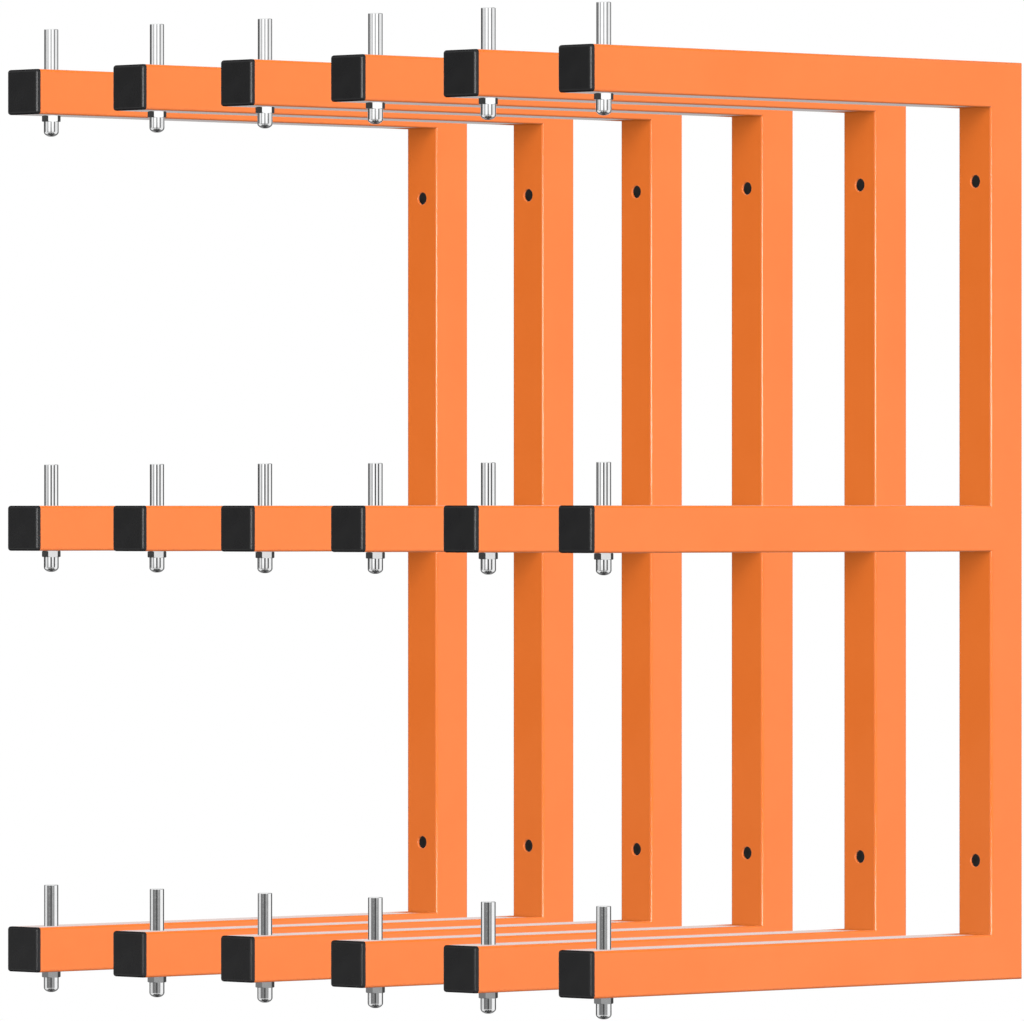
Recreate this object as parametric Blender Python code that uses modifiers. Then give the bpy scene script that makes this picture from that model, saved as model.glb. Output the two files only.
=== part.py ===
"""Wall-mounted lumber rack: a row of E-shaped brackets of welded square steel tube.

Each bracket has three arms. A plastic plug closes every arm's open end, and near that end a round
stop pin stands on the arm, with a shank through both tube walls into a cap nut below. Metres, +Z up:
the wall is the plane Y = 0, the arms reach along -Y, and the row of brackets runs along X.
"""

import math

import bmesh
import bpy
from mathutils import Matrix, Vector

# Row of brackets
BRACKET_COUNT = 6
BRACKET_PITCH = 0.104

# Welded frame of square tube
FRAME_DEPTH = 0.400  # wall to the front of the end caps
LOWER_BAY = 0.250  # clear height between the bottom and the middle arm
UPPER_BAY = 0.260  # clear height between the middle and the top arm
TUBE_SIDE = 0.030
TUBE_WALL = 0.0015
TUBE_CORNER = 0.0020  # outer radius of the tube's long edges

# Screw holes, through the front and back walls of the upright
SCREW_HOLE_DIAMETER = 0.0085
SCREW_HOLE_FROM_END = 0.078

# Stop pin: a post on the arm, and a shank through the arm into the nut
SHANK_DIAMETER = 0.0060
PIN_SHOULDER = 0.00175  # overhang of the post beyond the shank
PIN_STAND = 0.0275  # top of the post above the arm
PIN_SETBACK = 0.023  # pin axis from the open tube end
PIN_CHAMFER = 0.0005

# Cap nut
NUT_HEX_HEIGHT = 0.0042
NUT_HEX_STEP = 0.0005  # flats of the hexagon beyond the dome
NUT_DOME_HEIGHT = 0.0096
NUT_DOME_WALL = 0.0017
NUT_DOME_ROUNDING = 0.0032
NUT_END_WALL = 0.0039  # closed end of the dome
NUT_SPARE_BORE = 0.0012  # free bore past the end of the shank

# End cap: a flange against the tube end and a hollow ribbed plug inside the tube
CAP_FLANGE = 0.0030
CAP_ROUNDING = 0.0020
CAP_PLUG_TO_SHANK = 0.0060
CAP_PLUG_WALL = 0.0018
CAP_RIB_COUNT = 3
CAP_RIB_HEIGHT = 0.0014
CAP_RIB_THICKNESS = 0.0016
CAP_RIB_TAPER = 0.0006

# Fits and facets
FIT = 0.0003  # clearance between pieces that touch
CUT_MARGIN = 0.005  # how far a cutter runs past the face that it opens
BORE_FACETS = 12
TURNED_FACETS = 12
ROUNDING_FACETS = 2
DOME_FACETS = 3
MERGE_DISTANCE = 0.00001
SMOOTH_ANGLE = math.radians(32)

# Sizes and places that follow from those above
FRAME_HEIGHT = 3 * TUBE_SIDE + LOWER_BAY + UPPER_BAY
TUBE_END = CAP_FLANGE + FIT - FRAME_DEPTH
TUBE_INSIDE = TUBE_SIDE - 2 * TUBE_WALL
TUBE_INNER_CORNER = max(TUBE_CORNER - TUBE_WALL, FIT)
ARM_UNDERSIDES = {
    "bottom": 0.0,
    "middle": TUBE_SIDE + LOWER_BAY,
    "top": FRAME_HEIGHT - TUBE_SIDE,
}
PIN_Y = TUBE_END + PIN_SETBACK
PIN_DIAMETER = SHANK_DIAMETER + 2 * PIN_SHOULDER
SHANK_BORE = SHANK_DIAMETER + 2 * FIT
NUT_HEIGHT = NUT_HEX_HEIGHT + NUT_DOME_HEIGHT
NUT_BORE_DEPTH = NUT_HEIGHT - NUT_END_WALL
NUT_DOME_DIAMETER = SHANK_BORE + 2 * NUT_DOME_WALL
NUT_ACROSS_FLATS = NUT_DOME_DIAMETER + 2 * NUT_HEX_STEP
SHANK_IN_NUT = FIT + NUT_BORE_DEPTH - NUT_SPARE_BORE  # shank below the arm
SCREW_HEIGHTS = (SCREW_HOLE_FROM_END, FRAME_HEIGHT - SCREW_HOLE_FROM_END)
CAP_PLUG_DEPTH = PIN_SETBACK - SHANK_DIAMETER / 2 - CAP_PLUG_TO_SHANK


def clear_scene():
    for thing in list(bpy.data.objects):
        bpy.data.objects.remove(thing, do_unlink=True)


def new_collection(name):
    collection = bpy.data.collections.new(name)
    bpy.context.scene.collection.children.link(collection)
    return collection


def new_material(name, colour, roughness, metallic):
    material = bpy.data.materials.new(name)
    material.use_nodes = True
    shader = material.node_tree.nodes["Principled BSDF"]
    shader.inputs["Base Color"].default_value = (*colour, 1.0)
    shader.inputs["Roughness"].default_value = roughness
    shader.inputs["Metallic"].default_value = metallic
    material.diffuse_color = (*colour, 1.0)
    return material


def object_from(bm, name, collection):
    """A new object with the mesh of bm, which is freed."""
    bmesh.ops.recalc_face_normals(bm, faces=bm.faces)
    mesh = bpy.data.meshes.new(name)
    bm.to_mesh(mesh)
    bm.free()
    thing = bpy.data.objects.new(name, mesh)
    collection.objects.link(thing)
    return thing


def cutter_from(bm, name, collection):
    cutter = object_from(bm, name, collection)
    cutter.hide_render = True
    cutter.display_type = "WIRE"
    return cutter


def combine(thing, operation, other):
    modifier = thing.modifiers.new(f"{operation.lower()} {other.name}", "BOOLEAN")
    modifier.operation = operation
    modifier.solver = "EXACT"
    modifier.object = other


def finished_mesh(thing):
    """The evaluated mesh of a shape, shaded smooth up to its edges. The shape itself is removed."""
    evaluated = thing.evaluated_get(bpy.context.evaluated_depsgraph_get())
    mesh = bpy.data.meshes.new_from_object(evaluated)
    mesh.name = thing.name
    bpy.data.objects.remove(thing, do_unlink=True)
    mesh.shade_smooth()
    mesh.set_sharp_from_angle(angle=SMOOTH_ANGLE)
    return mesh


def add_prism(bm, outline, width):
    """Extrudes an outline of (y, z) points along X, centred on X = 0."""
    face = bm.faces.new([bm.verts.new((-width / 2, y, z)) for y, z in outline])
    extruded = bmesh.ops.extrude_face_region(bm, geom=[face])["geom"]
    far_side = [v for v in extruded if isinstance(v, bmesh.types.BMVert)]
    bmesh.ops.translate(bm, verts=far_side, vec=(width, 0, 0))


def add_box(bm, low, high):
    """A box between two corners."""
    low, high = Vector(low), Vector(high)
    place = Matrix.Translation((low + high) / 2) @ Matrix.Diagonal((*(high - low), 1))
    bmesh.ops.create_cube(bm, size=1, matrix=place)


def add_rod(bm, start, end, diameter):
    """A round rod between two points."""
    start, end = Vector(start), Vector(end)
    turn = (end - start).to_track_quat("Z", "Y").to_matrix().to_4x4()
    bmesh.ops.create_cone(
        bm,
        cap_ends=True,
        segments=BORE_FACETS,
        radius1=diameter / 2,
        radius2=diameter / 2,
        depth=(end - start).length,
        matrix=Matrix.Translation((start + end) / 2) @ turn,
    )


def round_edges(bm, edges, radius, facets):
    bmesh.ops.bevel(
        bm,
        geom=edges,
        offset=radius,
        offset_type="OFFSET",
        segments=facets,
        profile=0.5,
        affect="EDGES",
        clamp_overlap=False,
    )


def round_tube_edges(bm, tip, radius, facets):
    """Rounds the edges along the tubes. Edges across X and those round a cut end stay sharp."""

    def runs_along_a_tube(edge):
        first, second = (v.co for v in edge.verts)
        across = abs(first.x - second.x) > FIT
        at_tip = max(first.y, second.y) < tip + FIT
        return not across and not at_tip

    round_edges(bm, [e for e in bm.edges if runs_along_a_tube(e)], radius, facets)


def comb_outline(undersides, inset, tip):
    """Outline in (y, z) of the upright with arms at these heights, drawn in by inset, cut off at tip."""
    back = -inset
    front = inset - TUBE_SIDE
    outline = [(back, FRAME_HEIGHT - inset), (back, inset)]
    for underside in undersides:
        low = underside + inset
        high = underside + TUBE_SIDE - inset
        outline += [(front, low), (tip, low), (tip, high), (front, high)]
    # The lowest and the highest arm run through to the back at mitred corners.
    del outline[-1], outline[2]
    return outline


def frame_mesh(cutters):
    """The welded frame: a mitred C of tube, with a middle arm butted to the front of its upright."""
    bottom, middle, top = ARM_UNDERSIDES.values()
    past_tip = TUBE_END - CUT_MARGIN

    bm = bmesh.new()
    add_prism(bm, comb_outline((bottom, middle, top), 0.0, TUBE_END), TUBE_SIDE)
    round_tube_edges(bm, TUBE_END, TUBE_CORNER, ROUNDING_FACETS)
    frame = object_from(bm, "frame", cutters)

    bm = bmesh.new()
    add_prism(bm, comb_outline((bottom, top), TUBE_WALL, past_tip), TUBE_INSIDE)
    low = middle + TUBE_WALL
    high = low + TUBE_INSIDE
    butt = -TUBE_SIDE
    add_prism(bm, [(butt, low), (past_tip, low), (past_tip, high), (butt, high)], TUBE_INSIDE)
    round_tube_edges(bm, past_tip, TUBE_INNER_CORNER, 1)
    combine(frame, "DIFFERENCE", cutter_from(bm, "tube_inside", cutters))

    bm = bmesh.new()
    for underside in ARM_UNDERSIDES.values():
        below = (0, PIN_Y, underside - CUT_MARGIN)
        above = (0, PIN_Y, underside + TUBE_SIDE + CUT_MARGIN)
        add_rod(bm, below, above, SHANK_BORE)
    for height in SCREW_HEIGHTS:
        in_front = (0, -TUBE_SIDE - CUT_MARGIN, height)
        behind = (0, CUT_MARGIN, height)
        add_rod(bm, in_front, behind, SCREW_HOLE_DIAMETER)
    combine(frame, "DIFFERENCE", cutter_from(bm, "drilled_holes", cutters))
    return finished_mesh(frame)


def cap_mesh(cutters):
    """End cap, with its origin at the middle of the tube end and +Y into the tube."""
    half = TUBE_SIDE / 2
    rib_half = TUBE_INSIDE / 2 - FIT
    plug_half = rib_half - CAP_RIB_HEIGHT
    flange_middle = -FIT - CAP_FLANGE / 2

    bm = bmesh.new()
    add_box(bm, (-half, -FIT - CAP_FLANGE, -half), (half, -FIT, half))
    front_and_corners = [e for e in bm.edges if min(v.co.y for v in e.verts) < flange_middle]
    round_edges(bm, front_and_corners, min(CAP_ROUNDING, CAP_FLANGE - FIT), ROUNDING_FACETS)
    cap = object_from(bm, "end_cap", cutters)

    bm = bmesh.new()
    add_box(bm, (-plug_half, flange_middle, -plug_half), (plug_half, CAP_PLUG_DEPTH, plug_half))
    combine(cap, "UNION", cutter_from(bm, "plug", cutters))

    bm = bmesh.new()
    spacing = CAP_PLUG_DEPTH / CAP_RIB_COUNT
    for number in range(CAP_RIB_COUNT):
        middle = Vector((0, (number + 0.5) * spacing, 0))
        bmesh.ops.create_cone(
            bm,
            cap_ends=True,
            segments=4,
            radius1=rib_half * math.sqrt(2),
            radius2=(rib_half - CAP_RIB_TAPER) * math.sqrt(2),
            depth=CAP_RIB_THICKNESS,
            matrix=Matrix.Translation(middle)
            @ Matrix.Rotation(math.radians(-90), 4, "X")
            @ Matrix.Rotation(math.radians(45), 4, "Z"),
        )
    rib_corners = [e for e in bm.edges if abs(e.verts[0].co.y - e.verts[1].co.y) > FIT]
    round_edges(bm, rib_corners, TUBE_INNER_CORNER, 1)
    combine(cap, "UNION", cutter_from(bm, "ribs", cutters))

    hollow_half = plug_half - CAP_PLUG_WALL
    bm = bmesh.new()
    past_plug = CAP_PLUG_DEPTH + CUT_MARGIN
    add_box(bm, (-hollow_half, 0, -hollow_half), (hollow_half, past_plug, hollow_half))
    combine(cap, "DIFFERENCE", cutter_from(bm, "plug_inside", cutters))
    return finished_mesh(cap)


def turned_object(name, profile, collection):
    """A shape turned about Z from a profile of (radius, z) points that runs from top to bottom."""
    mesh = bpy.data.meshes.new(name)
    points = [(radius, 0, z) for radius, z in profile]
    steps = [(i, i + 1) for i in range(len(points) - 1)]
    mesh.from_pydata(points, steps, [])
    thing = bpy.data.objects.new(name, mesh)
    collection.objects.link(thing)
    screw = thing.modifiers.new("turned", "SCREW")
    screw.steps = screw.render_steps = TURNED_FACETS
    screw.use_merge_vertices = True
    screw.merge_threshold = MERGE_DISTANCE
    return thing


def pin_mesh(cutters):
    """Stop pin, with its origin on the arm's top face."""
    post = PIN_DIAMETER / 2
    shank = SHANK_DIAMETER / 2
    end = -TUBE_SIDE - SHANK_IN_NUT
    profile = [
        (0, PIN_STAND),
        (post - PIN_CHAMFER, PIN_STAND),
        (post, PIN_STAND - PIN_CHAMFER),
        (post, FIT),
        (shank, FIT),
        (shank, end),
        (0, end),
    ]
    return finished_mesh(turned_object("stop_pin", profile, cutters))


def nut_mesh(cutters):
    """Cap nut, with its origin on the arm's underside and its dome hanging below."""
    hex_bottom = -FIT - NUT_HEX_HEIGHT
    dome_end = -FIT - NUT_HEIGHT
    dome = NUT_DOME_DIAMETER / 2
    inside_hex = hex_bottom + NUT_HEX_HEIGHT / 2
    profile = [(0, inside_hex), (dome, inside_hex)]
    for step in range(DOME_FACETS + 1):
        turn = math.radians(90) * step / DOME_FACETS
        radius = dome - NUT_DOME_ROUNDING * (1 - math.cos(turn))
        height = dome_end + NUT_DOME_ROUNDING * (1 - math.sin(turn))
        profile.append((radius, height))
    profile.append((0, dome_end))

    bm = bmesh.new()
    bmesh.ops.create_cone(
        bm,
        cap_ends=True,
        segments=6,
        radius1=NUT_ACROSS_FLATS / math.sqrt(3),
        radius2=NUT_ACROSS_FLATS / math.sqrt(3),
        depth=NUT_HEX_HEIGHT,
        matrix=Matrix.Translation((0, 0, inside_hex)) @ Matrix.Rotation(math.radians(30), 4, "Z"),
    )
    nut = object_from(bm, "cap_nut", cutters)
    dome_body = turned_object("dome", profile, cutters)
    dome_body.hide_render = True
    dome_body.display_type = "WIRE"
    combine(nut, "UNION", dome_body)

    bm = bmesh.new()
    add_rod(bm, (0, 0, -FIT - NUT_BORE_DEPTH), (0, 0, CUT_MARGIN), SHANK_BORE)
    combine(nut, "DIFFERENCE", cutter_from(bm, "nut_bore", cutters))
    return finished_mesh(nut)


def place(name, mesh, material, location, parent, collection):
    thing = bpy.data.objects.new(name, mesh)
    thing.parent = parent
    thing.location = location
    collection.objects.link(thing)
    if not mesh.materials:
        mesh.materials.append(material)


def main():
    clear_scene()
    rack = new_collection("lumber_rack")
    cutters = new_collection("cutters")

    powder_coat = new_material("orange_powder_coat", (0.95, 0.23, 0.045), 0.22, 0.0)
    plastic = new_material("black_plastic", (0.024, 0.024, 0.025), 0.45, 0.0)
    chrome = new_material("chromed_pin", (0.83, 0.84, 0.85), 0.08, 1.0)
    plated = new_material("chromed_nut", (0.80, 0.81, 0.82), 0.12, 1.0)

    frame = frame_mesh(cutters)
    cap = cap_mesh(cutters)
    pin = pin_mesh(cutters)
    nut = nut_mesh(cutters)

    first = -BRACKET_PITCH * (BRACKET_COUNT - 1) / 2
    for number in range(BRACKET_COUNT):
        name = f"bracket_{number + 1}"
        bracket = bpy.data.objects.new(name, None)
        bracket.location = (first + number * BRACKET_PITCH, 0, 0)
        rack.objects.link(bracket)
        place(f"{name}_frame", frame, powder_coat, (0, 0, 0), bracket, rack)
        for arm, underside in ARM_UNDERSIDES.items():
            topside = underside + TUBE_SIDE
            axis = underside + TUBE_SIDE / 2
            place(f"{name}_{arm}_end_cap", cap, plastic, (0, TUBE_END, axis), bracket, rack)
            place(f"{name}_{arm}_stop_pin", pin, chrome, (0, PIN_Y, topside), bracket, rack)
            place(f"{name}_{arm}_cap_nut", nut, plated, (0, PIN_Y, underside), bracket, rack)


main()
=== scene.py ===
import math

import bmesh
import bpy
from mathutils import Matrix, Vector


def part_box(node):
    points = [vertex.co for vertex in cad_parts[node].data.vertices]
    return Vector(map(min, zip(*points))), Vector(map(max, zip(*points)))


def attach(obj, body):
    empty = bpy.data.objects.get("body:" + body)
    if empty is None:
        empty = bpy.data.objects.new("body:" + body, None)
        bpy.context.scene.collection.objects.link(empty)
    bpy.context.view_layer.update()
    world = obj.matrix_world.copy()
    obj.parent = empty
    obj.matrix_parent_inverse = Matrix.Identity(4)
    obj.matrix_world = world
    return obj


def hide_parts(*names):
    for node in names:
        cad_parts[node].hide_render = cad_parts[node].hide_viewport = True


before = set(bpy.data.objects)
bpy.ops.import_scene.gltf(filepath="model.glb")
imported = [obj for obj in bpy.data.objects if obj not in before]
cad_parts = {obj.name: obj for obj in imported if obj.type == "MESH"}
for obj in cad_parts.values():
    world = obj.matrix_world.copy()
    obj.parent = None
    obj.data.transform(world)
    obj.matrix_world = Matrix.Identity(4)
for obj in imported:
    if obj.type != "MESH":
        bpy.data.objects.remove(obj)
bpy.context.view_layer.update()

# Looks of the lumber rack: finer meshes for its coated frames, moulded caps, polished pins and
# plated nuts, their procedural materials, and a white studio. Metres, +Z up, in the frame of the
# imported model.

# Camera, level, seen from the front right of the row
CAMERA_AZIMUTH = math.radians(45.44)  # from straight in front, towards +X
CAMERA_PLACE = (4.8700, -4.9946, 0.3068)
CAMERA_REACH = 100.0
CAMERA_LENS = 363.88  # millimetres, as is the width of the sensor
SENSOR_WIDTH = 36.0

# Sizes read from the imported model
BRACKETS = sorted({name[: name.index("_", len("bracket_"))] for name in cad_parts})
ARMS = ("bottom", "middle", "top")
FRAME_LOW, FRAME_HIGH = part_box("bracket_1_frame")
TUBE_SIDE = FRAME_HIGH.x - FRAME_LOW.x
FRAME_HEIGHT = FRAME_HIGH.z - FRAME_LOW.z
TUBE_END = FRAME_LOW.y
CAP_LOW, CAP_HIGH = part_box("bracket_1_middle_end_cap")
PIN_LOW, PIN_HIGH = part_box("bracket_1_middle_stop_pin")
NUT_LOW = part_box("bracket_1_middle_cap_nut")[0]
ARM_AXES = {arm: sum(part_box(f"bracket_1_{arm}_end_cap"), Vector()).z / 2 for arm in ARMS}
PIN_Y = (PIN_LOW.y + PIN_HIGH.y) / 2
PIN_DIAMETER = PIN_HIGH.x - PIN_LOW.x
ARM_TOP = ARM_AXES["middle"] + TUBE_SIDE / 2
ARM_BOTTOM = ARM_AXES["middle"] - TUBE_SIDE / 2

# Details that a box does not give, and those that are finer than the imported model
TUBE_WALL = 0.0015
TUBE_CORNER = 0.0020
BORE_CORNER = TUBE_CORNER - TUBE_WALL
SCREW_HOLE_DIAMETER = 0.0085
SCREW_HOLE_FROM_END = 0.078
SCREW_HEIGHTS = (SCREW_HOLE_FROM_END, FRAME_HEIGHT - SCREW_HOLE_FROM_END)
HOLE_RIM = 0.0004  # paint drawn round the edge of a screw hole
SHANK_DIAMETER = 0.0060
SHANK_BORE = 0.0066
PIN_EDGE = 0.0005
THREAD_PITCH = 0.0010
THREAD_DEPTH = 0.0005
THREAD_LENGTH = 0.0080
NUT_SIDES = 6
NUT_HEX_HEIGHT = 0.0042
NUT_ACROSS_FLATS = 0.0110
NUT_DOME_DIAMETER = 0.0100
NUT_DOME_ROUNDING = 0.0032  # height of the elliptical end of the dome
NUT_TIP = 0.0004  # radius of the dome's flat tip
NUT_CHAMFER = 0.0007
NUT_END_WALL = 0.0039
CAP_ROUNDING = 0.0020
CAP_PLUG_WALL = 0.0018
CAP_RIB_COUNT = 3
CAP_RIB_SIDES = 4
CAP_RIB_HEIGHT = 0.0014
CAP_RIB_THICKNESS = 0.0016
CAP_RIB_TAPER = 0.0006
PLUG_FIT = 0.0003
CORNER_SHADE_REACH = 0.028  # how far the painted shade of an inside corner reaches along an arm, where the coat's reflection is cut to stand in for the corner's shade and the upright mirrored in the arm
SEAT = 0.00004  # hairline between pieces that are pressed together

# Facets, and how meshes are cut and smoothed
CORNER_FACETS = 6
BORE_CORNER_FACETS = 2
TURNED_FACETS = 64
PIN_EDGE_FACETS = 4
THREAD_RINGS = 6  # per turn
DOME_FACETS = 12
HOLE_FACETS = 48
RIM_FACETS = 3
FLOOR_FACETS = 128
CUT_MARGIN = 0.005
MERGE_DISTANCE = SEAT / 4
RIM_TOLERANCE = TUBE_WALL / 10
SMOOTH_ANGLE = math.radians(35)
FLAT_WEIGHT = 100  # of a large face's normal against those of the rounded edges beside it

# Finishes. Clouds are the scale and detail of a noise, and a grain is the scale of a noise with the
# strength of its bumps and their height.
NOISE_LOW, NOISE_HIGH = 0.3, 0.7  # between which a noise mostly lies
FULL_SPECULAR = 0.5
EDGE_NORMALS = (0.72, 0.99)  # largest part of a normal halfway round an edge, and on a flat face
LEVEL_NORMALS = (0.80, 0.95)  # upright part of a normal between which a face turns level
COAT_COLOURS = ((0.83, 0.177, 0.025), (0.86, 0.191, 0.031))
COAT_CLOUDS = (16.0, 3.0)
COAT_EDGE_COLOUR = (0.86, 0.193, 0.033)
COAT_ROUGHNESS = (0.035, 0.060)
COAT_GLOSS_CLOUDS = (90.0, 3.0)
# roughness of the painted shade in inside corners, where the coat's reflection is cut to stand in for
# the corner's shade and the upright mirrored there
CORNER_SHADE_ROUGHNESS = 0.45
COAT_GRAIN = (620.0, 0.10, 0.00012)
COAT_IOR = 1.5
STEEL_COLOURS = ((0.008, 0.007, 0.007), (0.026, 0.023, 0.021))
STEEL_CLOUDS = (220.0, 4.0)
STEEL_ROUGHNESS = (0.45, 0.65)
STEEL_GLOSS_CLOUDS = (300.0, 3.0)
STEEL_GRAIN = (900.0, 0.15, 0.00005)
STEEL_SPECULAR = 0.2
STEEL_METALLIC = 0.3
PLASTIC_COLOURS = ((0.0105, 0.0105, 0.0110), (0.0125, 0.0125, 0.0130))
PLASTIC_CLOUDS = (60.0, 2.0)
PLASTIC_EDGE_COLOUR = (0.020, 0.020, 0.021)
PLASTIC_ROUGHNESS = (0.20, 0.23)
PLASTIC_GLOSS_CLOUDS = (80.0, 2.0)
PLASTIC_DULL_NORMALS = (0.15, 0.60)  # upright part of a normal where the gloss starts to fade and ends
PLASTIC_GRAIN = (2600.0, 0.02, 0.00004)
PLASTIC_IOR = 1.36
CHROME_CLOUDS = (260.0, 3.0)
CHROME_CLOUD_SHADE = 0.95  # share of its tint that chrome keeps in a cloud
CHROME_GLOSS_CLOUDS = (520.0, 3.0)
CHROME_LINES = (60.0, 60.0, 7000.0)  # scales of the noise that draws the turning lines
CHROME_LINE_HEIGHT = 0.00002
PIN_TINT = (0.92, 0.925, 0.93)
PIN_ROUGHNESS = (0.03, 0.07)
PIN_LINES = 0.06  # strength of the turning lines
NUT_TINT = (0.90, 0.905, 0.91)
NUT_ROUGHNESS = (0.05, 0.08)
NUT_LINES = 0.02
FLOOR_COLOURS = ((0.84, 0.84, 0.84), (0.87, 0.87, 0.87))
FLOOR_CLOUDS = (1.5, 3.0)
FLOOR_ROUGHNESS = (0.75, 0.85)
FLOOR_GLOSS_CLOUDS = (4.0, 3.0)

# Studio floor
FLOOR_HEIGHT = -0.60
FLOOR_RADIUS = 9.0
FLOOR_LAMP_POWER = 2.6

# Rings of softboxes and dark gaps round the rack, on both sides of the horizon: where each panel
# ends, in degrees to the right of the camera's own direction, and its brightness. The level ring is
# at the camera's height.
UPPER_RING = (
    (-155, 0.80),
    (-104, 0.05),
    (-97, 0.90),
    (-84, 0.05),
    (-62, 1.00),
    (-42, 0.48),
    (-10, 1.20),
    (10, 0.50),
    (43, 1.20),
    (64, 0.22),
    (120, 0.90),
    (155, 0.06),
    (180, 0.80),
)
LEVEL_RING = (
    (-155, 0.68),
    (-104, 0.05),
    (-97, 0.90),
    (-84, 0.05),
    (-68, 1.10),
    (-40, 0.45),
    (-11, 1.20),
    (13, 0.08),
    (24, 1.20),
    (34, 0.85),
    (40, 1.20),
    (64, 0.08),
    (115, 1.00),
    (155, 0.06),
    (180, 0.68),
)
LOWER_RING = (
    (-155, 0.52),
    (-112, 0.05),
    (-97, 1.20),
    (-86, 0.20),
    (-73, 1.20),
    (-8, 0.20),
    (10, 0.05),
    (56, 0.34),
    (114, 1.00),
    (155, 0.06),
    (180, 0.52),
)
PANEL_FADE = 4  # degrees over which one panel fades into the next
RING_TOP = 1.25  # brightest value that a ring can hold
RING_STEP = (0.018, 0.030)  # sines of the heights between which the level ring gives way to the next
RING_EDGES = (0.15, 0.45)  # sines of the heights where the rings start to fade and end

# The rest of the world as matt surfaces see it, and as gloss mirrors it, with dark patches: degrees
# right and up to the middle of each patch, and its radius in degrees
SKY_BRIGHTNESS = 0.13
GROUND_BRIGHTNESS = 0.33
MIRRORED_BRIGHTNESS = 0.90
PATCH_BRIGHTNESS = 0.06
PATCH_FADE = 10  # degrees over which the edge of a patch fades
PATCHES = ((0, -72, 43), (180, -30, 50), (118, 36, 30))
STREAK_COUNT = 8  # bright streaks across the patches, between the directions that flat faces mirror
STREAK_EDGES = (-1.0, -0.8)  # cosines round each streak between which it fades
STREAK_ENDS = (0.88, 0.93)  # sines of the depths where the streaks start to fade and end

# Lamps for the painted and moulded pieces: the endings of the pieces' names, whether their gloss
# mirrors the lamp, its middle and half width in degrees from the camera's direction, its lower and
# upper edge in degrees above the camera's height, and its brightness
LAMPS = {
    "wide_lamp": (("_frame", "_cap"), False, 14.5, 40.0, 6.0, 46.0, 3.20),
    "back_lamp": (("_frame", "_cap"), False, 180.0, 45.0, -14.0, 14.0, 5.20),
    "top_lamp": (("_frame", "_cap"), False, 0.0, 20.0, 75.0, 105.0, 2.60),
    "side_lamp": (("_frame",), True, 134.0, 17.0, -25.0, 25.0, 0.38),
    "strip_lamp": (("_frame",), True, 0.0, 36.0, 0.12, 3.1, 11.0),
    "low_strip_lamp": (("_frame",), True, 0.0, 36.0, -4.7, -3.5, 10.5),
    "cap_lamp": (("_cap",), True, 0.0, 30.0, 0.0, 5.5, 13.0),
}
LAMP_DISTANCE = 10.0


def link(thing):
    bpy.context.scene.collection.objects.link(thing)
    return thing


def mesh_object(bm, name):
    """A new object with the mesh of bm, which is freed."""
    bmesh.ops.recalc_face_normals(bm, faces=bm.faces)
    mesh = bpy.data.meshes.new(name)
    bm.to_mesh(mesh)
    bm.free()
    return link(bpy.data.objects.new(name, mesh))


def evaluated_mesh(thing):
    """The mesh of a thing with its modifiers. The thing is removed."""
    evaluated = thing.evaluated_get(bpy.context.evaluated_depsgraph_get())
    mesh = bpy.data.meshes.new_from_object(evaluated)
    mesh.name = thing.name
    bpy.data.objects.remove(thing, do_unlink=True)
    return mesh


def combine(thing, operation, *others):
    """Joins, cuts or trims a thing with others, which are removed."""
    for other in others:
        modifier = thing.modifiers.new(other.name, "BOOLEAN")
        modifier.operation = operation
        modifier.solver = "EXACT"
        modifier.object = other
    result = link(bpy.data.objects.new(thing.name, evaluated_mesh(thing)))
    for other in others:
        bpy.data.objects.remove(other, do_unlink=True)
    return result


def finished_mesh(thing):
    """The mesh of a thing, smooth over its rounded edges with its flats kept flat."""
    thing.data.shade_smooth()
    thing.data.set_sharp_from_angle(angle=SMOOTH_ANGLE)
    weighted = thing.modifiers.new("flat_faces", "WEIGHTED_NORMAL")
    weighted.keep_sharp = True
    weighted.weight = FLAT_WEIGHT
    return evaluated_mesh(thing)


def add_prism(bm, outline, width):
    """Extrudes an outline of (y, z) points along X, centred on X = 0."""
    face = bm.faces.new([bm.verts.new((-width / 2, y, z)) for y, z in outline])
    extruded = bmesh.ops.extrude_face_region(bm, geom=[face])["geom"]
    far_side = [v for v in extruded if isinstance(v, bmesh.types.BMVert)]
    bmesh.ops.translate(bm, verts=far_side, vec=(width, 0, 0))


def add_box(bm, low, high):
    low, high = Vector(low), Vector(high)
    place = Matrix.Translation((low + high) / 2) @ Matrix.Diagonal((*(high - low), 1))
    bmesh.ops.create_cube(bm, size=1, matrix=place)


def add_rod(bm, start, end, diameter):
    start, end = Vector(start), Vector(end)
    turn = (end - start).to_track_quat("Z", "Y").to_matrix().to_4x4()
    bmesh.ops.create_cone(
        bm,
        cap_ends=True,
        segments=HOLE_FACETS,
        radius1=diameter / 2,
        radius2=diameter / 2,
        depth=(end - start).length,
        matrix=Matrix.Translation((start + end) / 2) @ turn,
    )


def round_edges(bm, edges, radius, facets):
    bmesh.ops.bevel(
        bm,
        geom=edges,
        offset=radius,
        offset_type="OFFSET",
        segments=facets,
        profile=0.5,
        affect="EDGES",
        clamp_overlap=False,
    )


def round_tube_edges(bm, tip, radius, facets):
    """Rounds the edges along the tubes, but not those across X or round a cut end."""

    def runs_along_a_tube(edge):
        first, second = (v.co for v in edge.verts)
        across = abs(first.x - second.x) > SEAT
        at_tip = max(first.y, second.y) < tip + SEAT
        return not across and not at_tip

    round_edges(bm, [e for e in bm.edges if runs_along_a_tube(e)], radius, facets)


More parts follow.
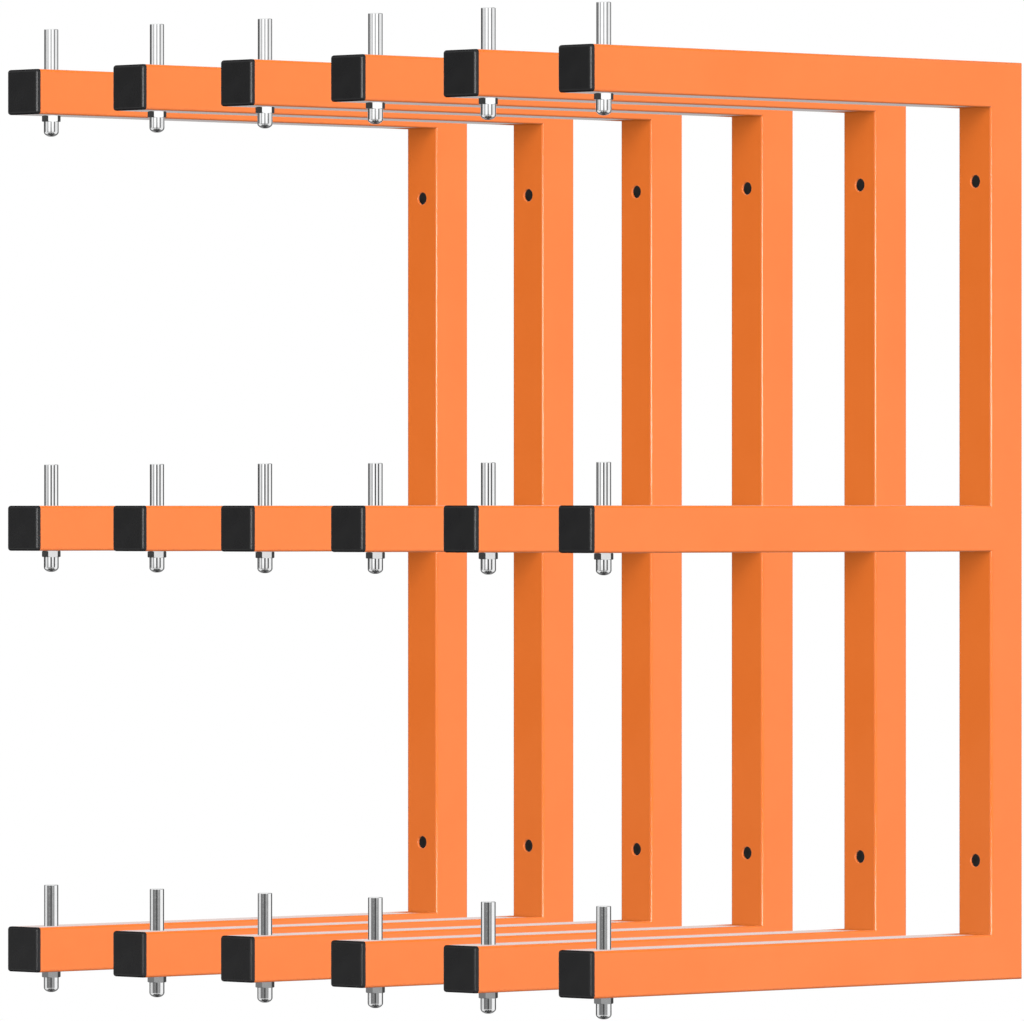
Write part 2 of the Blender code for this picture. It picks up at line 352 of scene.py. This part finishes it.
def comb_outline(arms, inset, tip):
    """Outline in (y, z) of the upright with these arms, drawn in by inset, cut off at tip."""
    half = TUBE_SIDE / 2 - inset
    back = -inset
    front = inset - TUBE_SIDE
    outline = [(back, FRAME_HEIGHT - inset), (back, inset)]
    for arm in arms:
        low = ARM_AXES[arm] - half
        high = ARM_AXES[arm] + half
        outline += [(front, low), (tip, low), (tip, high), (front, high)]
    # The lowest and the highest edge run straight on from the arm to the back.
    del outline[-1], outline[2]
    return outline


def tube_frame_mesh():
    """The welded frame, hollow, with drilled holes whose edges the paint has rounded."""
    past_tip = TUBE_END - CUT_MARGIN
    inside = TUBE_SIDE - 2 * TUBE_WALL
    bm = bmesh.new()
    add_prism(bm, comb_outline(ARMS, 0.0, TUBE_END), TUBE_SIDE)
    round_tube_edges(bm, TUBE_END, TUBE_CORNER, CORNER_FACETS)
    tubes = mesh_object(bm, "coated_frame")

    bm = bmesh.new()
    add_prism(bm, comb_outline(("bottom", "top"), TUBE_WALL, past_tip), inside)
    low = ARM_BOTTOM + TUBE_WALL
    high = ARM_TOP - TUBE_WALL
    butt = -TUBE_SIDE
    add_prism(bm, [(butt, low), (past_tip, low), (past_tip, high), (butt, high)], inside)
    round_tube_edges(bm, past_tip, BORE_CORNER, BORE_CORNER_FACETS)
    hollow = mesh_object(bm, "hollow")

    bm = bmesh.new()
    for axis in ARM_AXES.values():
        reach = TUBE_SIDE / 2 + CUT_MARGIN
        add_rod(bm, (0, PIN_Y, axis - reach), (0, PIN_Y, axis + reach), SHANK_BORE)
    for height in SCREW_HEIGHTS:
        in_front = (0, -TUBE_SIDE - CUT_MARGIN, height)
        add_rod(bm, in_front, (0, CUT_MARGIN, height), SCREW_HOLE_DIAMETER)
    holes = mesh_object(bm, "holes")
    return finished_mesh(rounded_holes(combine(tubes, "DIFFERENCE", hollow, holes)))


def rounded_holes(tubes):
    """Rounds the outer edges of the screw holes, and marks the uncoated inside of the tubes."""
    bm = bmesh.new()
    bm.from_mesh(tubes.data)
    bmesh.ops.remove_doubles(bm, verts=bm.verts, dist=MERGE_DISTANCE)

    def is_screw_rim(edge):
        middle = (edge.verts[0].co + edge.verts[1].co) / 2
        on_face = min(abs(middle.y), abs(middle.y + TUBE_SIDE)) < SEAT
        off_axis = min(math.hypot(middle.x, middle.z - height) for height in SCREW_HEIGHTS)
        return on_face and abs(off_axis - SCREW_HOLE_DIAMETER / 2) < RIM_TOLERANCE

    round_edges(bm, [e for e in bm.edges if is_screw_rim(e)], HOLE_RIM, RIM_FACETS)
    half_inside = TUBE_SIDE / 2 - TUBE_WALL + SEAT
    for face in bm.faces:
        centre = face.calc_center_median()
        beside_axis = min(abs(centre.z - axis) for axis in ARM_AXES.values())
        in_arm = beside_axis < half_inside and centre.y < -TUBE_SIDE
        in_upright = abs(centre.y + TUBE_SIDE / 2) < half_inside
        if abs(centre.x) < half_inside and (in_arm or in_upright):
            within_height = TUBE_WALL - SEAT < centre.z < FRAME_HEIGHT - TUBE_WALL + SEAT
            face.material_index = 1 if within_height and centre.y > TUBE_END + SEAT else 0
    bm.to_mesh(tubes.data)
    bm.free()
    return tubes


def cap_mesh():
    """End cap, with its origin at the middle of the tube end and +Y into the tube."""
    half = TUBE_SIDE / 2
    front = CAP_LOW.y - TUBE_END
    plug_end = CAP_HIGH.y - TUBE_END
    rib_half = half - TUBE_WALL - PLUG_FIT
    plug_half = rib_half - CAP_RIB_HEIGHT

    bm = bmesh.new()
    add_box(bm, (-half, front, -half), (half, -SEAT, half))
    rounded = [e for e in bm.edges if min(v.co.y for v in e.verts) < front / 2]
    round_edges(bm, rounded, CAP_ROUNDING, CORNER_FACETS)
    cap = mesh_object(bm, "moulded_cap")

    bm = bmesh.new()
    add_box(bm, (-plug_half, front / 2, -plug_half), (plug_half, plug_end, plug_half))
    plug = mesh_object(bm, "plug")

    bm = bmesh.new()
    spacing = plug_end / CAP_RIB_COUNT
    for number in range(CAP_RIB_COUNT):
        bmesh.ops.create_cone(
            bm,
            cap_ends=True,
            segments=CAP_RIB_SIDES,
            radius1=rib_half * math.sqrt(2),
            radius2=(rib_half - CAP_RIB_TAPER) * math.sqrt(2),
            depth=CAP_RIB_THICKNESS,
            matrix=Matrix.Translation((0, (number + 0.5) * spacing, 0))
            @ Matrix.Rotation(math.radians(-90), 4, "X")
            @ Matrix.Rotation(math.radians(180 / CAP_RIB_SIDES), 4, "Z"),
        )
    rib_corners = [e for e in bm.edges if abs(e.verts[0].co.y - e.verts[1].co.y) > SEAT]
    round_edges(bm, rib_corners, BORE_CORNER, BORE_CORNER_FACETS)
    ribs = mesh_object(bm, "ribs")
    cap = combine(cap, "UNION", plug, ribs)

    hollow_half = plug_half - CAP_PLUG_WALL
    bm = bmesh.new()
    past_plug = plug_end + CUT_MARGIN
    add_box(bm, (-hollow_half, 0, -hollow_half), (hollow_half, past_plug, hollow_half))
    return finished_mesh(combine(cap, "DIFFERENCE", mesh_object(bm, "plug_hollow")))


def arc(centre, radius, start, end, steps):
    """Points on an arc in (radius, z), between two angles in degrees."""
    points = []
    for step in range(steps + 1):
        angle = math.radians(start + (end - start) * step / steps)
        points.append((centre[0] + radius * math.cos(angle), centre[1] + radius * math.sin(angle)))
    return points


def add_turned(bm, profile, radius_at=None):
    """Turns a profile of (radius, z) points about Z, with closed ends. radius_at bends the rings."""
    rings = []
    for radius, z in profile:
        ring = []
        for step in range(TURNED_FACETS):
            angle = 2 * math.pi * step / TURNED_FACETS
            reach = radius_at(radius, z, angle) if radius_at else radius
            ring.append(bm.verts.new((reach * math.cos(angle), reach * math.sin(angle), z)))
        rings.append(ring)
    for upper, lower in zip(rings, rings[1:]):
        for step in range(TURNED_FACETS):
            after = (step + 1) % TURNED_FACETS
            bm.faces.new((upper[step], lower[step], lower[after], upper[after]))
    bm.faces.new(rings[0])
    bm.faces.new(reversed(rings[-1]))


def pin_mesh():
    """Stop pin with a threaded shank, with its origin on the arm's top face."""
    post = PIN_DIAMETER / 2
    shank = SHANK_DIAMETER / 2
    top = PIN_HIGH.z - ARM_TOP
    end = PIN_LOW.z - ARM_TOP
    thread_top = end + THREAD_LENGTH
    edge = arc((post - PIN_EDGE, top - PIN_EDGE), PIN_EDGE, 90, 0, PIN_EDGE_FACETS)
    profile = edge + [(post, SEAT), (shank, SEAT), (shank, thread_top)]
    steps = round(THREAD_LENGTH / THREAD_PITCH) * THREAD_RINGS
    profile += [(shank, thread_top - THREAD_LENGTH * n / steps) for n in range(1, steps + 1)]

    def threaded(radius, z, angle):
        if z > thread_top or radius > shank:
            return radius
        turns = (z - end) / THREAD_PITCH - angle / (2 * math.pi)
        groove = abs(2 * (turns % 1) - 1)
        run_out = min(1, (thread_top - z) / THREAD_PITCH)
        return radius - THREAD_DEPTH * groove * run_out

    bm = bmesh.new()
    add_turned(bm, profile, threaded)
    return finished_mesh(mesh_object(bm, "polished_pin"))


def nut_mesh():
    """Cap nut, with its origin on the arm's underside and its dome hanging below."""
    hex_bottom = -SEAT - NUT_HEX_HEIGHT
    dome_end = NUT_LOW.z - ARM_BOTTOM
    dome = NUT_DOME_DIAMETER / 2
    corner = NUT_ACROSS_FLATS / math.sqrt(3)
    flat = NUT_ACROSS_FLATS / 2

    bm = bmesh.new()
    bmesh.ops.create_cone(
        bm,
        cap_ends=True,
        segments=NUT_SIDES,
        radius1=corner,
        radius2=corner,
        depth=NUT_HEX_HEIGHT,
        matrix=Matrix.Translation((0, 0, -SEAT - NUT_HEX_HEIGHT / 2))
        @ Matrix.Rotation(math.radians(180 / NUT_SIDES), 4, "Z"),
    )
    nut = mesh_object(bm, "plated_nut")

    bm = bmesh.new()
    chamfered = [
        (flat, 0.0),
        (corner + SEAT, -SEAT - NUT_CHAMFER / 2),
        (corner + SEAT, hex_bottom + NUT_CHAMFER / 2),
        (flat, hex_bottom - SEAT),
    ]
    add_turned(bm, chamfered)
    nut = combine(nut, "INTERSECT", mesh_object(bm, "chamfers"))

    bm = bmesh.new()
    profile = [(dome, hex_bottom + NUT_HEX_HEIGHT / 2)]
    for out, down in arc((0, 0), 1, 0, -90, DOME_FACETS):
        radius = NUT_TIP + (dome - NUT_TIP) * out
        profile.append((radius, dome_end + NUT_DOME_ROUNDING * (1 + down)))
    add_turned(bm, profile)
    nut = combine(nut, "UNION", mesh_object(bm, "dome"))

    bm = bmesh.new()
    add_rod(bm, (0, 0, dome_end + NUT_END_WALL), (0, 0, CUT_MARGIN), SHANK_BORE)
    return finished_mesh(combine(nut, "DIFFERENCE", mesh_object(bm, "bore")))


class Nodes:
    """A node tree, with short ways to add nodes to it."""

    def __init__(self, tree):
        self.tree = tree

    def feed(self, socket, value):
        """Links an output to a socket, or sets the socket's own value."""
        if isinstance(value, bpy.types.NodeSocket):
            self.tree.links.new(value, socket)
        else:
            socket.default_value = value

    def node(self, kind, **inputs):
        node = self.tree.nodes.new(kind)
        for name, value in inputs.items():
            self.feed(node.inputs[name.replace("_", " ")], value)
        return node

    def math(self, operation, *values):
        node = self.node("ShaderNodeMath")
        node.operation = operation
        for socket, value in zip(node.inputs, values):
            self.feed(socket, value)
        return node.outputs["Value"]

    def axes(self, vector):
        return self.node("ShaderNodeSeparateXYZ", Vector=vector).outputs

    def between(self, factor, first, second):
        """first where the factor is 0, second where it is 1."""
        return self.node("ShaderNodeMix", Factor=factor, A=first, B=second).outputs["Result"]

    def ranged(self, value, low, high, start=0.0, end=1.0, interpolation="LINEAR"):
        """A value between start and end brought to the range from low to high."""
        limits = {"From_Min": start, "From_Max": end, "To_Min": low, "To_Max": high}
        node = self.node("ShaderNodeMapRange", Value=value, **limits)
        node.interpolation_type = interpolation
        return node.outputs["Result"]


class Finish(Nodes):
    """A material's node tree, with the object's own coordinates and normals at hand."""

    def __init__(self, name):
        self.material = bpy.data.materials.new(name)
        self.material.use_nodes = True
        super().__init__(self.material.node_tree)
        self.shader = self.tree.nodes["Principled BSDF"]
        coordinates = self.node("ShaderNodeTexCoord")
        self.place = coordinates.outputs["Object"]
        self.normal = coordinates.outputs["Normal"]

    def set(self, **inputs):
        for name, value in inputs.items():
            self.feed(self.shader.inputs[name.replace("_", " ")], value)

    def noise(self, scale, detail=2.0, vector=None):
        inputs = {"Vector": vector or self.place, "Scale": scale, "Detail": detail}
        return self.node("ShaderNodeTexNoise", **inputs).outputs["Fac"]

    def stretched(self, scale):
        return self.node("ShaderNodeMapping", Vector=self.place, Scale=scale).outputs["Vector"]

    def mixed(self, factor, first, second):
        """A colour between two colours, or between an output and a colour."""
        node = self.node("ShaderNodeMix", Factor=factor)
        node.data_type = "RGBA"
        for name, colour in (("A", first), ("B", second)):
            socket = next(s for s in node.inputs if s.name == name and s.type == "RGBA")
            self.feed(socket, (*colour, 1.0) if isinstance(colour, tuple) else colour)
        return next(s for s in node.outputs if s.type == "RGBA")

    def bump(self, height, strength, distance):
        inputs = {"Height": height, "Strength": strength, "Distance": distance}
        return self.node("ShaderNodeBump", **inputs).outputs["Normal"]

    def clouded(self, clouds, low, high):
        """A value that drifts between low and high."""
        return self.ranged(self.noise(*clouds), low, high, NOISE_LOW, NOISE_HIGH)

    def clouded_colour(self, clouds, first, second):
        """A colour that drifts between two colours."""
        return self.mixed(self.clouded(clouds, 0.0, 1.0), first, second)

    def grain(self, scale, strength, height):
        """Normals of a finely bumpy skin."""
        return self.bump(self.noise(scale), strength, height)

    def levelness(self):
        """0 on upright faces, 1 on level ones."""
        return self.math("ABSOLUTE", self.axes(self.normal)["Z"])

    def edges(self):
        """0 on faces that are square to an axis, 1 halfway round the edges between them."""
        across, along, upright = (self.math("ABSOLUTE", part) for part in self.axes(self.normal))
        largest = self.math("MAXIMUM", self.math("MAXIMUM", across, along), upright)
        return self.ranged(largest, 1.0, 0.0, *EDGE_NORMALS)


def corner_shade_mask(finish):
    """1 on the arms' faces in the corners beside the upright, where the coat's reflection is cut as
    painted shade for the corner's shade and the upright mirrored there, or 0.
    """
    along, height = list(finish.axes(finish.place))[1:]
    from_middle = finish.math("ABSOLUTE", finish.math("SUBTRACT", height, FRAME_HEIGHT / 2))
    outside = FRAME_HEIGHT / 2 - TUBE_SIDE / 2
    between_arms = finish.ranged(from_middle, 1.0, 0.0, outside, outside + TUBE_CORNER)
    start = -TUBE_SIDE - CORNER_SHADE_REACH
    beside = finish.ranged(along, 0.0, 1.0, start, start + CORNER_SHADE_REACH / 2)
    level = finish.ranged(finish.levelness(), 0.0, 1.0, *LEVEL_NORMALS)
    return finish.math("MULTIPLY", finish.math("MULTIPLY", between_arms, beside), level)


def powder_coat():
    """Glossy orange powder coat with an orange-peel skin, thin on edges, with painted shade in inside
    corners where its reflection is cut.
    """
    finish = Finish("orange_powder_coat_finish")
    body = finish.clouded_colour(COAT_CLOUDS, *COAT_COLOURS)
    gloss = finish.clouded(COAT_GLOSS_CLOUDS, *COAT_ROUGHNESS)
    corners = corner_shade_mask(finish)
    finish.set(
        Base_Color=finish.mixed(finish.edges(), body, COAT_EDGE_COLOUR),
        # In inside corners the reflection is cut and the coat roughened: painted shade for the
        # corner's shade and the upright mirrored there.
        Roughness=finish.between(corners, gloss, CORNER_SHADE_ROUGHNESS),
        Specular_IOR_Level=finish.ranged(corners, FULL_SPECULAR, 0.0),
        Normal=finish.grain(*COAT_GRAIN),
        IOR=COAT_IOR,
    )
    return finish.material


def bare_steel():
    """Mill-dark steel inside the tubes, which the coat does not reach."""
    finish = Finish("bare_steel_finish")
    finish.set(
        Base_Color=finish.clouded_colour(STEEL_CLOUDS, *STEEL_COLOURS),
        Roughness=finish.clouded(STEEL_GLOSS_CLOUDS, *STEEL_ROUGHNESS),
        Normal=finish.grain(*STEEL_GRAIN),
        Specular_IOR_Level=STEEL_SPECULAR,
        Metallic=STEEL_METALLIC,
    )
    return finish.material


def moulded_plastic():
    """Black moulded plastic with a fine spark-eroded grain, dull along its upper and lower edges."""
    finish = Finish("black_plastic_finish")
    body = finish.clouded_colour(PLASTIC_CLOUDS, *PLASTIC_COLOURS)
    finish.set(
        Base_Color=finish.mixed(finish.edges(), body, PLASTIC_EDGE_COLOUR),
        Roughness=finish.clouded(PLASTIC_GLOSS_CLOUDS, *PLASTIC_ROUGHNESS),
        Specular_IOR_Level=finish.ranged(
            finish.levelness(), FULL_SPECULAR, 0.0, *PLASTIC_DULL_NORMALS
        ),
        Normal=finish.grain(*PLASTIC_GRAIN),
        IOR=PLASTIC_IOR,
    )
    return finish.material


def polished_chrome(name, tint, roughness, lines):
    """Chromed steel with faint turning lines round its axis."""
    finish = Finish(name)
    shade = tuple(value * CHROME_CLOUD_SHADE for value in tint)
    turned = finish.noise(1.0, vector=finish.stretched(CHROME_LINES))
    finish.set(
        Base_Color=finish.clouded_colour(CHROME_CLOUDS, tint, shade),
        Roughness=finish.clouded(CHROME_GLOSS_CLOUDS, *roughness),
        Normal=finish.bump(turned, lines, CHROME_LINE_HEIGHT),
        Metallic=1.0,
    )
    return finish.material


def pale_floor():
    finish = Finish("pale_floor_finish")
    finish.set(
        Base_Color=finish.clouded_colour(FLOOR_CLOUDS, *FLOOR_COLOURS),
        Roughness=finish.clouded(FLOOR_GLOSS_CLOUDS, *FLOOR_ROUGHNESS),
    )
    return finish.material


def add_piece(name, mesh, place, node):
    """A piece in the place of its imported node. Pieces neither mirror nor tint each other."""
    piece = link(bpy.data.objects.new(name, mesh))
    piece.location = place
    piece.visible_glossy = False
    piece.visible_diffuse = False
    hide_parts(node)
    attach(piece, "root")
    return piece


def build_rack():
    """The finer pieces of every bracket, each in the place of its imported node."""
    coated = tube_frame_mesh()
    moulded = cap_mesh()
    polished = pin_mesh()
    plated = nut_mesh()
    coated.materials.append(powder_coat())
    coated.materials.append(bare_steel())
    moulded.materials.append(moulded_plastic())
    pin_chrome = polished_chrome("chromed_pin_finish", PIN_TINT, PIN_ROUGHNESS, PIN_LINES)
    polished.materials.append(pin_chrome)
    nut_chrome = polished_chrome("chromed_nut_finish", NUT_TINT, NUT_ROUGHNESS, NUT_LINES)
    plated.materials.append(nut_chrome)

    # What each arm carries: new name, mesh, Y, height above the arm's axis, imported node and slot
    half = TUBE_SIDE / 2
    fittings = (
        ("moulded_cap", moulded, TUBE_END, 0.0, "end_cap", "black_plastic"),
        ("polished_pin", polished, PIN_Y, half, "stop_pin", "chromed_pin"),
        ("plated_nut", plated, PIN_Y, -half, "cap_nut", "chromed_nut"),
    )
    rack = {}
    for bracket in BRACKETS:
        low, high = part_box(f"{bracket}_frame")
        x = (low.x + high.x) / 2
        name = f"{bracket}_coated_frame"
        pieces = [add_piece(name, coated, (x, 0, 0), f"{bracket}_frame")]
        for arm, axis in ARM_AXES.items():
            on_arm = f"{bracket}_{arm}"
            for name, mesh, y, above, node, slot in fittings:
                place = (x, y, axis + above)
                pieces.append(add_piece(f"{on_arm}_{name}", mesh, place, f"{on_arm}_{node}"))
        rack[bracket] = pieces
    return rack


def build_camera():
    data = bpy.data.cameras.new("camera")
    data.sensor_width = SENSOR_WIDTH
    data.lens = CAMERA_LENS
    data.clip_end = CAMERA_REACH
    camera = link(bpy.data.objects.new("camera", data))
    camera.location = CAMERA_PLACE
    camera.rotation_euler = (math.radians(90), 0, CAMERA_AZIMUTH)
    bpy.context.scene.camera = camera


class Studio(Nodes):
    """The world's node tree."""

    def __init__(self):
        world = bpy.data.worlds.new("studio")
        world.use_nodes = True
        bpy.context.scene.world = world
        super().__init__(world.node_tree)
        self.tree.nodes.clear()

    def smooth_step(self, value, start, end):
        return self.ranged(value, 0.0, 1.0, start, end, "SMOOTHSTEP")

    def ring(self, position, panels):
        """Brightness along a ring of panels, where position goes from 0 to 1 once round."""
        stops = []
        start = -180
        for end, brightness in panels:
            stops += [(start + PANEL_FADE / 2, brightness), (end - PANEL_FADE / 2, brightness)]
            start = end
        node = self.node("ShaderNodeValToRGB", Fac=position)
        elements = node.color_ramp.elements
        while len(elements) < len(stops):
            elements.new(1.0)
        for element, (degrees, brightness) in zip(elements, stops):
            shade = brightness / RING_TOP
            element.position = (degrees + 180) / 360
            element.color = (shade, shade, shade, 1)
        return self.math("MULTIPLY", node.outputs["Color"], RING_TOP)

    def patch(self, direction, centre, radius):
        """1 inside a round patch of the world, 0 outside it."""
        nearness = self.node("ShaderNodeVectorMath", Vector=direction)
        nearness.operation = "DOT_PRODUCT"
        nearness.inputs[1].default_value = centre
        outer, inner = radius + PATCH_FADE / 2, radius - PATCH_FADE / 2
        edges = (math.cos(math.radians(outer)), math.cos(math.radians(inner)))
        return self.smooth_step(nearness.outputs["Value"], *edges)


def aim(degrees_right, degrees_up):
    """Direction seen from the rack, with the camera towards -Y."""
    azimuth, height = math.radians(degrees_right), math.radians(degrees_up)
    level = math.cos(height)
    return Vector((level * math.sin(azimuth), -level * math.cos(azimuth), math.sin(height)))


def build_studio():
    """White where the camera looks past the rack, with bright and dark panels all round for light."""
    studio = Studio()
    towards = studio.node("ShaderNodeTexCoord").outputs["Generated"]
    turned = studio.node("ShaderNodeVectorRotate", Vector=towards, Angle=-CAMERA_AZIMUTH)
    turned.rotation_type = "Z_AXIS"
    direction = turned.outputs["Vector"]
    right, away, up = studio.axes(direction)
    azimuth = studio.math("ARCTAN2", right, studio.math("MULTIPLY", away, -1.0))
    position = studio.math("MULTIPLY_ADD", azimuth, 0.5 / math.pi, 0.5)
    rays = studio.node("ShaderNodeLightPath").outputs

    rings = (LOWER_RING, LEVEL_RING, UPPER_RING)
    low, level, high = (studio.ring(position, panels) for panels in rings)
    level_end, next_start = RING_STEP
    ring = studio.between(studio.smooth_step(up, -next_start, -level_end), low, level)
    ring = studio.between(studio.smooth_step(up, level_end, next_start), ring, high)

    wave = studio.math("COSINE", studio.math("MULTIPLY", azimuth, STREAK_COUNT))
    beside_streak = studio.smooth_step(wave, *STREAK_EDGES)
    below_streaks = studio.smooth_step(studio.math("MULTIPLY", up, -1.0), *STREAK_ENDS)
    off_streak = studio.math("MAXIMUM", beside_streak, below_streaks)
    dark = studio.between(off_streak, MIRRORED_BRIGHTNESS, PATCH_BRIGHTNESS)
    mirrored = MIRRORED_BRIGHTNESS
    for degrees_right, degrees_up, radius in PATCHES:
        inside = studio.patch(direction, aim(degrees_right, degrees_up), radius)
        mirrored = studio.between(inside, mirrored, dark)

    above = studio.smooth_step(up, -next_start, next_start)
    matt = studio.between(above, GROUND_BRIGHTNESS, SKY_BRIGHTNESS)
    dome = studio.between(rays["Is Glossy Ray"], matt, mirrored)
    out_of_ring = studio.smooth_step(studio.math("ABSOLUTE", up), *RING_EDGES)
    light = studio.between(out_of_ring, ring, dome)
    shown = studio.between(rays["Is Camera Ray"], light, 1.0)
    background = studio.node("ShaderNodeBackground", Color=(1, 1, 1, 1), Strength=shown)
    output = studio.node("ShaderNodeOutputWorld", Surface=background.outputs["Background"])
    output.is_active_output = True


def link_light(lamp, lit, shading):
    """Lets a lamp light only some pieces, and be shaded only by some."""
    for purpose, pieces in (("receiver", lit), ("blocker", shading)):
        group = bpy.data.collections.new(f"{lamp.name}_{purpose}s")
        for piece in pieces:
            group.objects.link(piece)
        setattr(lamp.light_linking, f"{purpose}_collection", group)


def add_bracket_lamps(bracket, pieces):
    """The lamps as one bracket sees them, without the shadows of the other brackets."""
    turn = Matrix.Rotation(CAMERA_AZIMUTH, 3, "Z")
    for name, (endings, mirrored, middle, half_width, low, high, brightness) in LAMPS.items():
        data = bpy.data.lights.new(f"{bracket}_{name}", "AREA")
        data.shape = "RECTANGLE"
        data.size = 2 * LAMP_DISTANCE * math.tan(math.radians(half_width))
        data.size_y = 2 * LAMP_DISTANCE * math.tan(math.radians(high - low) / 2)
        data.energy = brightness * math.pi * data.size * data.size_y
        lamp = link(bpy.data.objects.new(data.name, data))
        towards = turn @ aim(middle, (low + high) / 2)
        lamp.location = towards * LAMP_DISTANCE
        lamp.location.x += pieces[0].location.x
        lamp.location.z += CAMERA_PLACE[2]
        lamp.rotation_euler = towards.to_track_quat("Z", "Y").to_euler()
        lamp.visible_camera = False
        lamp.visible_glossy = mirrored
        link_light(lamp, [piece for piece in pieces if piece.name.endswith(endings)], pieces)


def build_floor():
    """A pale floor with its own lamp, seen by the camera alone."""
    bm = bmesh.new()
    bmesh.ops.create_circle(bm, cap_ends=True, segments=FLOOR_FACETS, radius=FLOOR_RADIUS)
    floor = mesh_object(bm, "floor")
    floor.location.z = FLOOR_HEIGHT
    floor.data.materials.append(pale_floor())
    floor.visible_glossy = False
    floor.visible_diffuse = False
    data = bpy.data.lights.new("floor_lamp", "SUN")
    data.energy = FLOOR_LAMP_POWER
    lamp = link(bpy.data.objects.new("floor_lamp", data))
    link_light(lamp, [floor], [floor])


build_camera()
build_studio()
for bracket, pieces in build_rack().items():
    add_bracket_lamps(bracket, pieces)
build_floor()
bpy.context.scene.view_settings.view_transform = "Standard"
